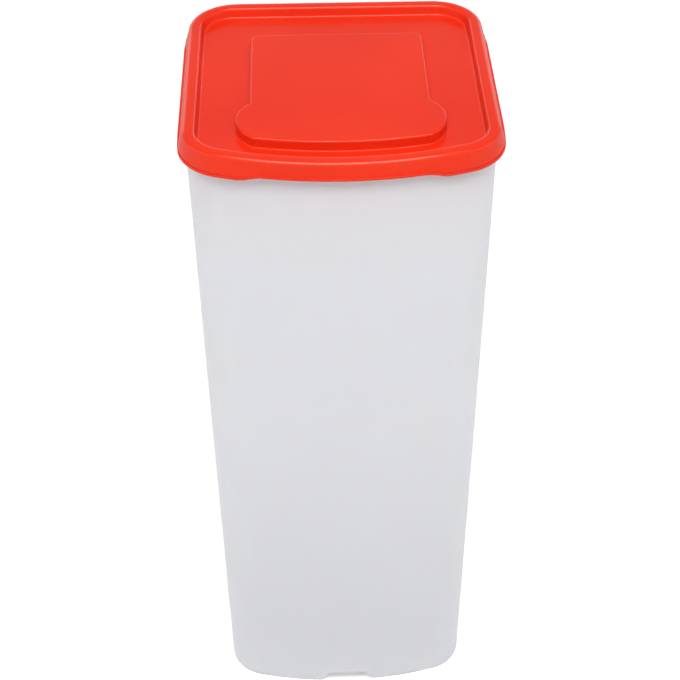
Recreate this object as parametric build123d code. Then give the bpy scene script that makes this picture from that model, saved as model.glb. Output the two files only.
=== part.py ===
# Tall bread keeper: a milky tapered container with a bowed front, and a lift-off lid.
# Millimetres, +Z up. The origin is under the middle of the lid, on the floor. The front faces -Y.
from build123d import *
import math
import os

# Footprint of the lid, along the ridge of its rim
ridge_width = 132.0          # left to right
front_bow = 5.0              # how far the front's middle reaches beyond a square of that width
front_radius = 166.0         # radius of the bowed front
ridge_corner = 20.8          # radius of the four corners

# Heights
overall_height = 328.4       # floor to the top of the rim
foot_height = 7.0            # floor to the underside of the container's bottom

# Container
wall = 1.8                   # thickness of the side walls
bottom_thickness = 1.8
base_width = 120.6           # left to right at the foot
base_bow = 6.5
base_radius = 178.0
base_corner = 19.8
inside_radius = 4.0          # rounding where the inside walls meet the bottom

# Neck and mouth of the container, as insets from the ridge
shoulder_inset = 0.3         # top of the visible wall
neck_inset = 1.0             # outside of the neck
neck_thickness = 1.2
snap_height = 1.1            # how far the snap bead stands out from the neck
shoulder_drop = 6.4          # rim top down to where the snap bead starts
snap_bottom_drop = 5.4       # rim top down to the bead's lower edge
snap_top_drop = 5.0          # rim top down to the bead's upper edge
neck_drop = 3.9              # rim top down to where the neck runs straight

# Notches in the foot, one in the middle of each side
notch_top_width = 19.5
notch_bottom_width = 26.0
notch_height = 5.7
notch_inner_radius = 1.0     # rounding of its two upper corners
notch_outer_radius = 4.0     # rounding of its two corners at the floor

# Lid shell
lid_thickness = 1.4          # rim top, panel and boss top
skirt_thickness = 1.2
rim_top_reach = 0.6          # outer face of the skirt at the rim top, beyond the ridge
skirt_reach = 2.75           # outer face of the skirt at its lower edge, beyond the ridge
skirt_depth = 7.5            # rim top down to the lower edge between the tabs
rim_outer_radius = 2.6
rim_inner_radius = 1.8
lip_reach = 0.45             # how far the lip along the skirt's edge stands out
lip_height = 1.1

# Tabs of the skirt at the corners
tab_drop = 2.2               # how far a tab hangs below the skirt's edge
tab_gap_front = 66.0         # straight edge between two tabs, front and back
tab_gap_side = 70.0          # the same at the left and right
tab_ramp = 12.0              # length of the curved step from edge to tab

# Recessed panel
recess_inset = 4.5           # edge of the recess at the rim top, inside the ridge
recess_draft = 1.1           # how much further in it is at the panel
recess_depth = 4.9
recess_corner = 15.5
panel_radius = 1.2           # rounding between recess wall and panel

# Plug of the lid, which goes down inside the mouth
plug_top_inset = 3.1
plug_waist_inset = 3.9
plug_inner_inset = 5.6
plug_corner = 16.8           # corner radius of the plug at its top
plug_depth = 8.6             # rim top down to the plug's lower edge
seal_height = 0.7            # height of the sealing lip's flat

# Loaf-slice boss on the panel
boss_width = 77.2
boss_back = 38.2             # back edge, behind the origin
boss_waist = 20.7            # where the straight sides end, in front of the origin
boss_crown_width = 89.2      # across the two lobes of the crown
boss_crown_line = 34.6       # where the crown is widest, in front of the origin
boss_front_corner = 36.9     # where the lobes meet the bowed front, off the middle
boss_front = 52.9            # front edge's middle, in front of the origin
boss_front_radius = 167.0
boss_proud = 0.0             # how far the boss stands above the rim top
boss_back_corner_radius = 4.0
boss_waist_radius = 2.0
boss_front_corner_radius = 0.6
boss_edge_radius = 1.0
boss_foot_radius = 0.6

# Clearances between lid and container
seat_gap = 0.3               # above the mouth
snap_gap = 0.3               # between the two snap beads, sideways
seal_gap = 0.3               # between the sealing lip and the inside of the mouth

# Places that follow from these sizes
plan_centre = front_bow / 2
panel_top = overall_height - recess_depth
panel_bottom = panel_top - lid_thickness
channel_top = overall_height - lid_thickness
mouth_height = channel_top - seat_gap
shoulder_height = overall_height - shoulder_drop
bottom_top = foot_height + bottom_thickness
skirt_edge = overall_height - skirt_depth
tab_edge = skirt_edge - tab_drop
plug_edge = overall_height - plug_depth
snap_inset = neck_inset - snap_height
inner_inset = neck_inset + neck_thickness
lip_inset = max(inner_inset, shoulder_inset + wall) + seal_gap


def outline(half, bow, radius, corner, height):
    """Closed footprint: straight sides and back, a bowed front and four rounded corners."""
    back = plan_centre + half
    front = plan_centre - half - bow
    bow_centre = front + radius
    inner = half - corner
    corner_y = bow_centre - math.sqrt((radius - corner) ** 2 - inner ** 2)
    lean = math.atan2(bow_centre - corner_y, inner)
    front_x = radius * math.cos(lean)
    front_y = bow_centre - radius * math.sin(lean)
    front_mid_x = inner + corner * math.cos(lean / 2)
    front_mid_y = corner_y - corner * math.sin(lean / 2)
    back_mid = corner * math.cos(math.pi / 4)
    back_y = back - corner
    edges = [
        ThreePointArc((-front_x, front_y), (0, front), (front_x, front_y)),
        ThreePointArc((front_x, front_y), (front_mid_x, front_mid_y), (half, corner_y)),
        Line((half, corner_y), (half, back_y)),
        ThreePointArc((half, back_y), (inner + back_mid, back_y + back_mid), (inner, back)),
        Line((inner, back), (-inner, back)),
        ThreePointArc((-inner, back), (-inner - back_mid, back_y + back_mid), (-half, back_y)),
        Line((-half, back_y), (-half, corner_y)),
        ThreePointArc((-half, corner_y), (-front_mid_x, front_mid_y), (-front_x, front_y)),
    ]
    return Pos(0, 0, height) * Face(Wire(edges))


def rim_outline(inset, height, corner=None):
    """Footprint parallel to the ridge of the rim, a given distance inside it."""
    if corner is None:
        corner = ridge_corner - inset
    return outline(ridge_width / 2 - inset, front_bow, front_radius - inset, corner, height)


def body_outline(inset, height):
    """Footprint of the tapered container at a height, a given distance inside its outer face."""
    share = height / shoulder_height
    half = base_width / 2 + (ridge_width / 2 - shoulder_inset - base_width / 2) * share
    bow = base_bow + (front_bow - base_bow) * share
    radius = base_radius + (front_radius - shoulder_inset - base_radius) * share
    corner = base_corner + (ridge_corner - shoulder_inset - base_corner) * share
    return outline(half - inset, bow, radius - inset, corner - inset, height)


def stack(*levels):
    """Solid with straight walls from one footprint to the next."""
    return loft(list(levels), ruled=True)


def level_edges(shape, height):
    """Edges that lie flat at a height."""
    return [e for e in shape.edges() if all(abs(v.Z - height) < 0.01 for v in e.vertices())]


def face_xz(points):
    """Flat face in the X-Z plane, from points (x, z)."""
    return make_face(Plane.XZ * Polyline(*points, close=True))


def make_foot_notch(through):
    """Cutter for the notches in two opposite sides, along Y, with plain flanks."""
    top = notch_top_width / 2
    bottom = notch_bottom_width / 2
    below = bottom + (bottom - top) / notch_height
    return extrude(face_xz([(-below, -1), (-top, notch_height), (top, notch_height), (below, -1)]),
                   amount=through, both=True)


def notch_corners(shape, width, height):
    """Short edges across the foot's wall at the corners of the notches, at one of their heights."""
    return [
        e for e in level_edges(shape, height)
        if e.length < 2 * wall and all(
            abs(min(abs(v.X), abs(v.Y - plan_centre)) - width / 2) < 0.01 for v in e.vertices()
        )
    ]


def make_container():
    """Tapered shell on a notched foot, with a snap bead and a neck at the mouth."""
    outer = stack(
        body_outline(0, 0),
        body_outline(0, shoulder_height),
        rim_outline(snap_inset, overall_height - snap_bottom_drop),
        rim_outline(snap_inset, overall_height - snap_top_drop),
        rim_outline(neck_inset, overall_height - neck_drop),
        rim_outline(neck_inset, mouth_height),
    )
    inside = stack(
        body_outline(wall, bottom_top),
        body_outline(wall, shoulder_height),
        rim_outline(inner_inset, mouth_height + 1),
    )
    inside = fillet(level_edges(inside, bottom_top), inside_radius)
    under = stack(body_outline(wall, -1), body_outline(wall, foot_height))
    notch = make_foot_notch(ridge_width)
    side_notch = Pos(0, plan_centre, 0) * Rot(0, 0, 90) * notch
    container = outer - inside - under - notch - side_notch
    upper_corners = notch_corners(container, notch_top_width, notch_height)
    container = fillet(upper_corners, notch_inner_radius)
    lower_corners = notch_corners(container, notch_bottom_width, 0)
    return fillet(lower_corners, notch_outer_radius)


def make_tab_gap(straight, through):
    """Everything below the skirt's edge between two tabs, along Y."""
    half = straight / 2
    far = half + tab_ramp
    middle = half + tab_ramp / 2
    middle_z = (skirt_edge + tab_edge) / 2
    below = tab_edge - 1
    line = Plane.XZ * Polyline((-far, tab_edge), (-far, below), (far, below), (far, tab_edge))
    right = Plane.XZ * Spline(
        [(far, tab_edge), (middle, middle_z), (half, skirt_edge)], tangents=[(-1, 0), (-1, 0)]
    )
    top = Plane.XZ * Line((half, skirt_edge), (-half, skirt_edge))
    left = Plane.XZ * Spline(
        [(-half, skirt_edge), (-middle, middle_z), (-far, tab_edge)], tangents=[(-1, 0), (-1, 0)]
    )
    face = Face(Wire(line.edges() + right.edges() + top.edges() + left.edges()))
    return extrude(face, amount=through, both=True)


def make_lip(front_gap, side_gap):
    """Narrow lip that stands out along the skirt's edge and follows it down over the tabs."""
    reach = skirt_reach + lip_reach
    top = skirt_edge + lip_height + 0.1
    band = stack(rim_outline(-reach, tab_edge), rim_outline(-reach, top))
    middle = skirt_reach - skirt_thickness / 2
    band = band - stack(rim_outline(-middle, tab_edge - 1), rim_outline(-middle, top + 1))
    low = stack(
        rim_outline(-reach - 1, tab_edge - 1), rim_outline(-reach - 1, tab_edge + lip_height)
    )
    up = Pos(0, 0, lip_height)
    return (band & low) + (band & (up * front_gap)) + (band & (up * side_gap))


def boss_face():
    """Outline of the slice: straight sides, a wider crown with two lobes and a bowed front."""
    half = boss_width / 2
    crown = boss_crown_width / 2
    corner = boss_front_corner
    rise = boss_front_radius - math.sqrt(boss_front_radius ** 2 - corner ** 2)
    corner_y = rise - boss_front
    edges = [
        Line((-half, boss_back), (-half, -boss_waist)),
        ThreePointArc((-half, -boss_waist), (-crown, -boss_crown_line), (-corner, corner_y)),
        ThreePointArc((-corner, corner_y), (0, -boss_front), (corner, corner_y)),
        ThreePointArc((corner, corner_y), (crown, -boss_crown_line), (half, -boss_waist)),
        Line((half, -boss_waist), (half, boss_back)),
        Line((half, boss_back), (-half, boss_back)),
    ]
    face = Face(Wire(edges))
    for place, radius in (
        (boss_back, boss_back_corner_radius),
        (-boss_waist, boss_waist_radius),
        (corner_y, boss_front_corner_radius),
    ):
        corners = [v for v in face.vertices() if abs(v.Y - place) < 0.01]
        face = fillet(corners, radius).face()
    return face


def make_lid():
    """Inverted channel round the rim, a plug, a recessed panel and the hollow boss."""
    shell = stack(
        rim_outline(-skirt_reach, tab_edge),
        rim_outline(-skirt_reach, skirt_edge),
        rim_outline(-rim_top_reach, overall_height),
    )
    shell = fillet(level_edges(shell, overall_height), rim_outer_radius)
    skirt_slope = (skirt_reach - rim_top_reach) / skirt_depth
    inner_reach = skirt_reach - skirt_thickness
    bead_inset = snap_inset - snap_gap
    bead_low = overall_height - snap_bottom_drop - 1.2
    bead_high = bead_low + 0.4
    above_bead = bead_high + 0.8
    above_reach = inner_reach - skirt_slope * (above_bead - skirt_edge)
    channel_reach = inner_reach - skirt_slope * (channel_top - skirt_edge)
    cavity = stack(
        rim_outline(-inner_reach, tab_edge - 1),
        rim_outline(-inner_reach, skirt_edge + 0.2),
        rim_outline(bead_inset, bead_low),
        rim_outline(bead_inset, bead_high),
        rim_outline(-above_reach, above_bead),
        rim_outline(-channel_reach, channel_top),
    )
    lip_low = plug_edge + 0.6
    lip_high = lip_low + seal_height
    waist = lip_high + 0.9
    plug = stack(
        rim_outline(lip_inset + 0.6, plug_edge),
        rim_outline(lip_inset, lip_low),
        rim_outline(lip_inset, lip_high),
        rim_outline(plug_waist_inset, waist, plug_corner - (plug_waist_inset - plug_top_inset)),
        rim_outline(plug_top_inset, channel_top, plug_corner),
    )
    pocket = stack(
        rim_outline(plug_inner_inset, tab_edge - 1),
        rim_outline(plug_inner_inset, panel_bottom),
    )
    recess = stack(
        rim_outline(recess_inset + recess_draft, panel_top, recess_corner - recess_draft),
        rim_outline(recess_inset, overall_height, recess_corner),
    )
    recess = fillet(level_edges(recess, panel_top), panel_radius)
    lid = shell - (cavity - plug) - pocket - recess
    rim_edges = [
        e for e in level_edges(lid, overall_height)
        if max(abs(v.X) for v in e.vertices()) < ridge_width / 2 - recess_inset + 0.1
    ]
    lid = fillet(rim_edges, rim_inner_radius)
    front_gap = make_tab_gap(tab_gap_front, ridge_width)
    side_gap = Pos(0, plan_centre, 0) * Rot(0, 0, 90) * make_tab_gap(tab_gap_side, ridge_width)
    lid = lid + make_lip(front_gap, side_gap) - front_gap - side_gap
    boss_top = overall_height + boss_proud
    boss_height = boss_top - panel_top
    boss = extrude(Pos(0, 0, panel_top) * boss_face(), amount=boss_height)
    boss = fillet(level_edges(boss, boss_top), boss_edge_radius)
    hollow_face = offset(boss_face(), -lid_thickness)
    hollow = extrude(Pos(0, 0, panel_bottom) * hollow_face, amount=boss_height)
    lid = lid + boss
    foot = [
        e for e in level_edges(lid, panel_top)
        if max(abs(v.X) for v in e.vertices()) < boss_crown_width / 2 + 0.5
    ]
    lid = fillet(foot, boss_foot_radius)
    return lid - hollow


def main():
    os.makedirs("parts", exist_ok=True)
    nodes = {"container": make_container(), "lid": make_lid()}
    for name, shape in nodes.items():
        print(name, "solids", len(shape.solids()), "volume", round(shape.volume))
        export_step(shape, f"parts/{name}.step")


if __name__ == "__main__":
    main()
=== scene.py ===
# %% [markdown]
# # A bread keeper in Blender
#
# The real object is an upright keeper for a loaf: a tall milky plastic container with a bowed
# front, and a red lid that snaps over its mouth. Both pieces are injection-moulded plastic, so
# their looks come from three things: the exact roundings that catch the light, how much light the
# plastic lets through, and how smooth its skin is. The solid model already holds the roundings.
# They could be built again as Blender meshes, but the solids are exact and are kept as they are.
# This lesson gives the two plastics their finish and sets up the light and the camera.

# %% Load the solid model as a fixed frame
import math

import bpy
from mathutils import Matrix, Vector

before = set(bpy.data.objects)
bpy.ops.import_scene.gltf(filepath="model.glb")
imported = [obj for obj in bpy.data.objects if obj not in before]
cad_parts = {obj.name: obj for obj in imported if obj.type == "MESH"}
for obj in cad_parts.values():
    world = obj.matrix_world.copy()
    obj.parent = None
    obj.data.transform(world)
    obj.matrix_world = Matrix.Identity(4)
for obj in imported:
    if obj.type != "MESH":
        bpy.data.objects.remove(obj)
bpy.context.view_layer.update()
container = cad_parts["container"]
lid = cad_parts["lid"]

# %% [markdown]
# ## Camera
#
# The keeper was photographed from above its front, with a long lens from about 80 centimetres.
# The camera's place was found by matching the outlines of the lid and the foot, and it is given
# here as a real place in front of the object and three angles. Turning a camera step by step, by
# heading, then pitch, then roll, is easier to read than one set of Euler angles. The lens doesn't
# point at the middle of the picture, and shift_x says so without turning the camera.

# %% Place the camera
PHOTO_SIZE = 680                       # pixels, both ways
FOCAL_PIXELS = 1671.9                  # focal length measured in pixels of the photo
AXIS_PIXEL = 380.7                     # column of the photo that the lens points at
SENSOR_WIDTH = 36.0                    # millimetres
CAMERA_PLACE = Vector((-0.0171, -0.6391, 0.6990))
CAMERA_HEADING = math.radians(3.28)    # turned to the right of +Y
CAMERA_PITCH = math.radians(39.07)     # tilted down
CAMERA_ROLL = math.radians(-0.63)


def place_camera():
    """Makes the camera that sees what the photo shows, and makes it the scene's camera."""
    data = bpy.data.cameras.new("photo_camera")
    data.sensor_width = SENSOR_WIDTH
    data.lens = FOCAL_PIXELS * SENSOR_WIDTH / PHOTO_SIZE
    data.shift_x = (PHOTO_SIZE / 2 - AXIS_PIXEL) / PHOTO_SIZE
    camera = bpy.data.objects.new("photo_camera", data)
    bpy.context.scene.collection.objects.link(camera)
    turn = Matrix.Rotation(-CAMERA_HEADING, 4, "Z")
    tilt = Matrix.Rotation(math.pi / 2 - CAMERA_PITCH, 4, "X")
    roll = Matrix.Rotation(-CAMERA_ROLL, 4, "Z")
    camera.matrix_world = Matrix.Translation(CAMERA_PLACE) @ turn @ tilt @ roll
    bpy.context.scene.camera = camera
    return camera


camera = place_camera()
print("camera lens, millimetres:", round(camera.data.lens, 1))

# %% [markdown]
# ## Moulded skin, shared by both plastics
#
# Injection-moulded plastic is never a perfect mirror of its mould. It has a very fine skin that
# blurs reflections a little, and a slow waviness of a few centimetres, left as the walls cool and
# shrink, that bends the edges of reflections. The two could be drawn again in each material.
# Both plastics have them in different strengths, so they are one node group with inputs for the
# sizes and heights. It puts out a height for bump, a cloud value that each material uses to vary
# its gloss and colour, and a mask of the upright walls.
#
# Two helpers keep node code short. The first adds a node, sets its values and joins its inputs in
# one call. The second starts a group with named sockets.

# %% Start the group for the moulded skin
# A size is a noise scale: the larger the number, the finer the pattern.
SKIN_INPUTS = {"Wave Size": 28.0, "Wave Height": 1.0, "Skin Size": 1800.0, "Skin Height": 0.05}
SKIN_OUTPUTS = ["Height", "Cloud", "Wall"]


def add_node(tree, kind, values=None, links=None, **settings):
    """Adds a node. values sets sockets, links joins other nodes' outputs to its inputs."""
    node = tree.nodes.new(kind)
    for name, value in settings.items():
        setattr(node, name, value)
    for socket, value in (values or {}).items():
        node.inputs[socket].default_value = value
    for socket, output in (links or {}).items():
        tree.links.new(output, node.inputs[socket])
    return node


def new_group(name, inputs, outputs):
    """Starts a shader node group with float sockets and returns it with its two end nodes."""
    tree = bpy.data.node_groups.new(name, "ShaderNodeTree")
    for label, value in inputs.items():
        socket = tree.interface.new_socket(label, in_out="INPUT", socket_type="NodeSocketFloat")
        socket.default_value = value
    for label in outputs:
        tree.interface.new_socket(label, in_out="OUTPUT", socket_type="NodeSocketFloat")
    return tree, tree.nodes.new("NodeGroupInput"), tree.nodes.new("NodeGroupOutput")


moulded_skin, skin_in, skin_out = new_group("moulded_skin", SKIN_INPUTS, SKIN_OUTPUTS)
skin_place = add_node(moulded_skin, "ShaderNodeTexCoord")
print("group:", moulded_skin.name, "with outputs", SKIN_OUTPUTS)

# %% [markdown]
# ### Waves and fine skin
#
# The waves are left where the plastic shrank, and the fine skin is the steel's own polish. Both
# could be carved into the mesh, but they are hardly deeper than a hair is thick, so bump is
# enough. Each is a noise texture in the object's own coordinates, which needs no unwrapping and
# stays on the plastic when the lid moves. The waves alone are the cloud value.

# %% Height and cloud


def add_math(tree, operation, *terms):
    """Adds a Math node. Each term is a number or another node's output. Returns its output."""
    node = add_node(tree, "ShaderNodeMath", operation=operation)
    for socket, term in zip(node.inputs, terms):
        if isinstance(term, bpy.types.NodeSocket):
            tree.links.new(term, socket)
        else:
            socket.default_value = term
    return node.outputs[0]


def add_noise(size_input, detail, roughness):
    """Adds a noise texture to the moulded skin, as fine as one of the group's inputs says."""
    noise = add_node(
        moulded_skin, "ShaderNodeTexNoise", {"Detail": detail, "Roughness": roughness},
        {"Vector": skin_place.outputs["Object"], "Scale": skin_in.outputs[size_input]},
    )
    return noise.outputs["Fac"]


wave = add_noise("Wave Size", detail=1.0, roughness=0.4)
fine_skin = add_noise("Skin Size", detail=2.0, roughness=0.6)
wave_part = add_math(moulded_skin, "MULTIPLY", wave, skin_in.outputs["Wave Height"])
height = add_math(
    moulded_skin, "MULTIPLY_ADD", fine_skin, skin_in.outputs["Skin Height"], wave_part
)
moulded_skin.links.new(height, skin_out.inputs["Height"])
moulded_skin.links.new(wave, skin_out.inputs["Cloud"])
print("nodes for height and cloud:", len(moulded_skin.nodes))

# %% [markdown]
# ### Duller walls
#
# As a moulded piece leaves its mould, its upright walls slide along the steel, and they often come
# out duller than the flat faces, which only lift off. One photo can't measure how dull they are.
# The amounts that each plastic adds below are a guess, chosen because the sides of the lid then
# mirror the floor less, which is nearer to the photo. The walls could be a second material, with
# a hard line where it begins. Here the group makes a mask from the way the surface faces in the
# object's own coordinates: 0 on a face that looks up, 1 on a wall or an underside, and between
# them on a rounded edge, so the two finishes run into each other.

# %% Mask of the walls
WALL_ENDS, FLAT_STARTS = 0.45, 0.75    # upward part of the surface's direction


def add_ramp(tree, value, start, end, low=0.0, high=1.0, **settings):
    """Adds a Map Range node that turns start to end into low to high. Returns its output."""
    ramp = add_node(
        tree, "ShaderNodeMapRange",
        {"From Min": start, "From Max": end, "To Min": low, "To Max": high}, {"Value": value},
        **settings,
    )
    return ramp.outputs["Result"]


facing = add_node(
    moulded_skin, "ShaderNodeSeparateXYZ", links={"Vector": skin_place.outputs["Normal"]}
)
wall = add_ramp(moulded_skin, facing.outputs["Z"], WALL_ENDS, FLAT_STARTS, low=1.0, high=0.0)
moulded_skin.links.new(wall, skin_out.inputs["Wall"])
print("nodes in the whole group:", len(moulded_skin.nodes))

# %% [markdown]
# ## Milky polypropylene
#
# The container is natural polypropylene. It isn't clear: light scatters inside the wall, so the
# far side shows only as a change of brightness. A transmission shader could let the light through
# the wall, but it is slow and noisy. Subsurface scattering gives the same soft glow. Its scale is
# about twice the thickness of the wall, because light also runs along inside the plastic.

# %% Material for the container


def new_material(name, values):
    """Makes a material with a Principled BSDF, and sets the values of its sockets."""
    material = bpy.data.materials.new(name)
    material.use_nodes = True
    tree = material.node_tree
    tree.nodes.clear()
    shader = add_node(tree, "ShaderNodeBsdfPrincipled", values)
    output = tree.nodes.new("ShaderNodeOutputMaterial")
    tree.links.new(shader.outputs["BSDF"], output.inputs["Surface"])
    return material, tree, shader


milky_plastic, milky_tree, milky_shader = new_material("milky_polypropylene", {
    "IOR": 1.49,
    "Specular IOR Level": 0.35,
    "Subsurface Weight": 0.85,
    "Subsurface Radius": (1.0, 0.95, 0.9),
    "Subsurface Scale": 0.004,
})
print("material:", milky_plastic.name)

# %% [markdown]
# ### Skin of the container
#
# The container's skin is satin, a little rougher than the lid's. A plain number would do for its
# roughness, but a real wall is never the same all over, so the cloud value moves it a little and
# the mask of the walls adds to it. One helper does this for both plastics. The noise seldom
# leaves the middle of its range, so only that middle is stretched over the gloss.

# %% Satin skin of the container
CLOUD_LOW, CLOUD_HIGH = 0.3, 0.7       # where most of the noise lies
MILKY_BUMP = 0.00012                   # metres
MILKY_ROUGHNESS = (0.33, 0.37)
MILKY_WALL_EXTRA = 0.1                 # added roughness on the walls


def add_skin(tree, shader, bump_depth, roughness, wall_extra, wave_size, wave_height):
    """Gives a material the moulded skin: bump and a varied roughness. Returns the cloud."""
    skin = add_node(
        tree, "ShaderNodeGroup", {"Wave Size": wave_size, "Wave Height": wave_height},
        node_tree=moulded_skin,
    )
    bump = add_node(
        tree, "ShaderNodeBump", {"Strength": 1.0, "Distance": bump_depth},
        {"Height": skin.outputs["Height"]},
    )
    cloud = skin.outputs["Cloud"]
    gloss = add_ramp(tree, cloud, CLOUD_LOW, CLOUD_HIGH, *roughness, clamp=False)
    rough = add_math(tree, "MULTIPLY_ADD", skin.outputs["Wall"], wall_extra, gloss)
    tree.links.new(bump.outputs["Normal"], shader.inputs["Normal"])
    tree.links.new(rough, shader.inputs["Roughness"])
    return cloud


milky_cloud = add_skin(
    milky_tree, milky_shader, MILKY_BUMP, MILKY_ROUGHNESS, MILKY_WALL_EXTRA,
    wave_size=22.0, wave_height=0.8,
)
print("container roughness:", MILKY_ROUGHNESS, "and on walls", MILKY_WALL_EXTRA, "more")

# %% [markdown]
# ### Colour of the container
#
# The wall looks a little greyer towards the bottom, where less light gets in, and faintly pink
# just under the lid, probably from light that came through the red plastic. Both could be left to
# the light alone, but the scattering above carries it only a few millimetres, so both are painted
# into the colour along the height as well: painted shade that greys the wall towards the bottom,
# and painted red light just under the lid. The cloud value makes the painted grey begin a little
# higher here and lower there.

# %% Colour along the height, with painted shade and painted light
MILK_LIGHT = (0.785, 0.785, 0.818, 1)
# painted shade: the wall greys towards the bottom, where less light gets in
MILK_PAINTED_SHADE = (0.69, 0.692, 0.725, 1)    # towards the bottom
# painted light: a faint red glow just under the lid, from light through the red plastic
MILK_PAINTED_RED_LIGHT = (0.775, 0.73, 0.762, 1)   # just under the lid
PAINTED_SHADE_ENDS = 0.20                       # metres above the floor
PAINTED_RED_LIGHT_STARTS, PAINTED_RED_LIGHT_FULL = 0.265, 0.325
CLOUD_IN_MILK = -0.16                  # how far the cloud takes the wall towards grey
MIX_FIRST, MIX_SECOND, MIX_RESULT = 6, 7, 2    # the colour sockets of a Mix node


def mix_colours(tree, share, first, second):
    """Mixes two colours. Each is a plain colour or another node's output."""
    mix = add_node(tree, "ShaderNodeMix", links={"Factor": share}, data_type="RGBA")
    for index, colour in ((MIX_FIRST, first), (MIX_SECOND, second)):
        if isinstance(colour, bpy.types.NodeSocket):
            tree.links.new(colour, mix.inputs[index])
        else:
            mix.inputs[index].default_value = colour
    return mix.outputs[MIX_RESULT]


milky_place = add_node(milky_tree, "ShaderNodeTexCoord")
above_floor = add_node(
    milky_tree, "ShaderNodeSeparateXYZ", links={"Vector": milky_place.outputs["Object"]}
).outputs["Z"]
# painted shade along the height: 0 at the floor, 1 where the painted shade ends
painted_light_by_height = add_ramp(milky_tree, above_floor, 0.0, PAINTED_SHADE_ENDS, interpolation_type="SMOOTHSTEP")
painted_light_and_cloud = add_math(milky_tree, "MULTIPLY_ADD", milky_cloud, CLOUD_IN_MILK, painted_light_by_height)
milk_with_painted_shade = mix_colours(milky_tree, painted_light_and_cloud, MILK_PAINTED_SHADE, MILK_LIGHT)
# painted red light, from where it begins under the lid to where it is full
painted_red_light_share = add_ramp(
    milky_tree, above_floor, PAINTED_RED_LIGHT_STARTS, PAINTED_RED_LIGHT_FULL, interpolation_type="SMOOTHSTEP"
)
milk_with_painted_light = mix_colours(milky_tree, painted_red_light_share, milk_with_painted_shade, MILK_PAINTED_RED_LIGHT)
milky_tree.links.new(milk_with_painted_light, milky_shader.inputs["Base Color"])
print("container colour, from light to deep:", MILK_LIGHT[:3], MILK_PAINTED_SHADE[:3])

# %% [markdown]
# ## Red lid plastic
#
# The lid is the same kind of plastic with an opaque pigment. Its shine is satin: the flat panel
# reflects a broad pale sheen, while the rounded edges gather it into thin bright lines. A coat
# layer could give the shine, but a moulded lid has no varnish, so the plastic's own gloss does.
# The pigment is strong and nearly even. It varies a little, as moulded pigment does, and the
# cloud value says where.

# %% Material for the lid
LID_RED = (0.80, 0.029, 0.0055, 1)
LID_RED_DENSE = (0.74, 0.022, 0.0035, 1)
LID_BUMP = 0.00010                     # metres
LID_ROUGHNESS = (0.18, 0.21)
LID_WALL_EXTRA = 0.25

red_plastic, red_tree, red_shader = new_material("red_polypropylene", {
    "IOR": 1.49,
    "Specular IOR Level": 0.38,
    "Specular Tint": (1.0, 0.98, 0.82, 1),
    "Subsurface Weight": 0.08,
    "Subsurface Radius": (1.0, 0.2, 0.1),
    "Subsurface Scale": 0.002,
})
red_cloud = add_skin(
    red_tree, red_shader, LID_BUMP, LID_ROUGHNESS, LID_WALL_EXTRA,
    wave_size=18.0, wave_height=0.4,
)
flow = add_ramp(red_tree, red_cloud, CLOUD_LOW, CLOUD_HIGH)
pigment = mix_colours(red_tree, flow, LID_RED, LID_RED_DENSE)
red_tree.links.new(pigment, red_shader.inputs["Base Color"])
print("material:", red_plastic.name, "with roughness", LID_ROUGHNESS)

# %% [markdown]
# ## Dressing the two pieces
#
# Each moulded piece is one plastic all over. Faces could be given materials one by one, but here
# every material slot of a solid takes the same plastic, and the mesh stays as it was loaded.

# %% Dress the container and the lid


def dress(node, material):
    """Puts one material in every material slot of a solid."""
    materials = node.data.materials
    if not materials:
        materials.append(material)
    for index in range(len(materials)):
        materials[index] = material
    print(node.name, "wears", material.name)


dress(container, milky_plastic)
dress(lid, red_plastic)

# %% [markdown]
# ## Floor
#
# The photo is a pack shot on white. A floor that is lit up to pure white would throw too much
# light back at the object. This one is a flat sheet of pale paper, and it glows a little only
# where it is seen, straight, in a mirror or through glass, so that it looks white and still
# shows the object's soft shadow. It is so large that its far edge lies at the horizon.

# %% Lay the floor
FLOOR_HALF = 20.0                      # metres
FLOOR_GLOW = 0.34                      # of white
PALE_PAPER = {
    "Base Color": (0.9, 0.9, 0.9, 1),
    "Roughness": 0.9,
    "Specular IOR Level": 0.1,
    "Emission Color": (1, 1, 1, 1),
}


def seen_directly(tree):
    """1 for what is seen, straight, mirrored or through glass, and 0 for light."""
    path = add_node(tree, "ShaderNodeLightPath").outputs
    indirectly = add_math(tree, "MAXIMUM", path["Is Glossy Ray"], path["Is Transmission Ray"])
    return add_math(tree, "MAXIMUM", path["Is Camera Ray"], indirectly)


def lay_floor():
    """Makes the floor, which isn't part of the object."""
    mesh = bpy.data.meshes.new("floor")
    side = FLOOR_HALF
    corners = [(-side, -side, 0), (side, -side, 0), (side, side, 0), (-side, side, 0)]
    mesh.from_pydata(corners, [], [(0, 1, 2, 3)])
    floor = bpy.data.objects.new("floor", mesh)
    bpy.context.scene.collection.objects.link(floor)
    material, tree, shader = new_material("pale_floor", PALE_PAPER)
    glow = add_math(tree, "MULTIPLY", seen_directly(tree), FLOOR_GLOW)
    tree.links.new(glow, shader.inputs["Emission Strength"])
    mesh.materials.append(material)
    return floor


floor = lay_floor()
print("floor, metres across:", round(floor.dimensions.x, 1))

# %% [markdown]
# ## Lamps
#
# A pack shot is lit by large soft boxes, which leave no hard shadow. One bright lamp close above
# the front would do for the lid, but the tall walls below would stay dark. So one soft box hangs
# above, a fainter one stands at each side, and a wide low one behind the object gives its upper
# edges their glow. All are much larger than the object, and none is bright enough to turn the
# red panel pale where it is mirrored there.

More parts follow.
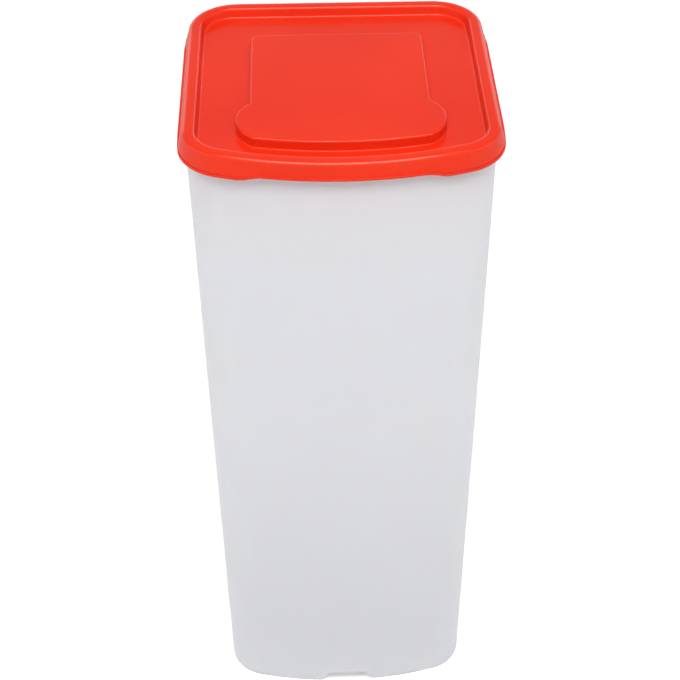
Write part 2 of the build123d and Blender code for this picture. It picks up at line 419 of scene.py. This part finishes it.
# %% Hang the lamps
LAMPS = {
    # name: place, aim (metres), size (metres), power (watts)
    "top_softbox": ((0.0, -0.6, 1.4), (0, 0, 0.33), (1.05, 0.52), 13.6),
    "rear_glow": ((0.0, 3.6, 0.85), (0, 0, 0.2), (6.0, 1.5), 20.0),
    "side_fill_-1": ((-2.2, -0.5, 1.0), (0, 0, 0.2), (2.0, 1.4), 9.8),
    "side_fill_1": ((2.2, -0.5, 1.0), (0, 0, 0.2), (2.0, 1.4), 9.8),
}


def add_area_light(name, place, aim, size, power):
    """Hangs a rectangular lamp at a place and turns it towards its aim."""
    data = bpy.data.lights.new(name, "AREA")
    data.shape = "RECTANGLE"
    data.size, data.size_y = size
    data.energy = power
    light = bpy.data.objects.new(name, data)
    bpy.context.scene.collection.objects.link(light)
    light.location = place
    light.rotation_euler = (Vector(aim) - Vector(place)).to_track_quat("-Z", "Y").to_euler()
    print("lamp", name, "of", power, "watts")


for name, lamp in LAMPS.items():
    add_area_light(name, *lamp)

# %% [markdown]
# ## Room
#
# The rest of the light comes from the room. One even level all round would do, but the far floor
# would then meet a darker wall in a hard line. So the room is paler low down, as bright as the
# far floor, and falls to its own level a little higher up. The paler part only shows where it
# is seen or mirrored, and lights nothing.

# %% Light the room
ROOM_LEVEL = 0.41                      # of white, from every side
HORIZON_LEVEL = 0.67                   # of white, where the room is seen low down
HORIZON_TOP = 0.25                     # upward part of the direction, 0 is the horizon


def light_room():
    """Makes the world, with a pale band along the horizon."""
    world = bpy.data.worlds.new("studio")
    world.use_nodes = True
    tree = world.node_tree
    direction = add_node(tree, "ShaderNodeTexCoord").outputs["Generated"]
    upward = add_node(tree, "ShaderNodeSeparateXYZ", links={"Vector": direction}).outputs["Z"]
    band = add_ramp(
        tree, upward, 0.0, HORIZON_TOP, HORIZON_LEVEL - ROOM_LEVEL, 0.0,
        interpolation_type="SMOOTHSTEP",
    )
    level = add_math(tree, "MULTIPLY_ADD", seen_directly(tree), band, ROOM_LEVEL)
    background = tree.nodes["Background"]
    background.inputs["Color"].default_value = (1, 1, 1, 1)
    tree.links.new(level, background.inputs["Strength"])
    return world


scene = bpy.context.scene
scene.world = light_room()
scene.view_settings.view_transform = "Standard"
print("room level:", ROOM_LEVEL, "and at the horizon:", HORIZON_LEVEL)
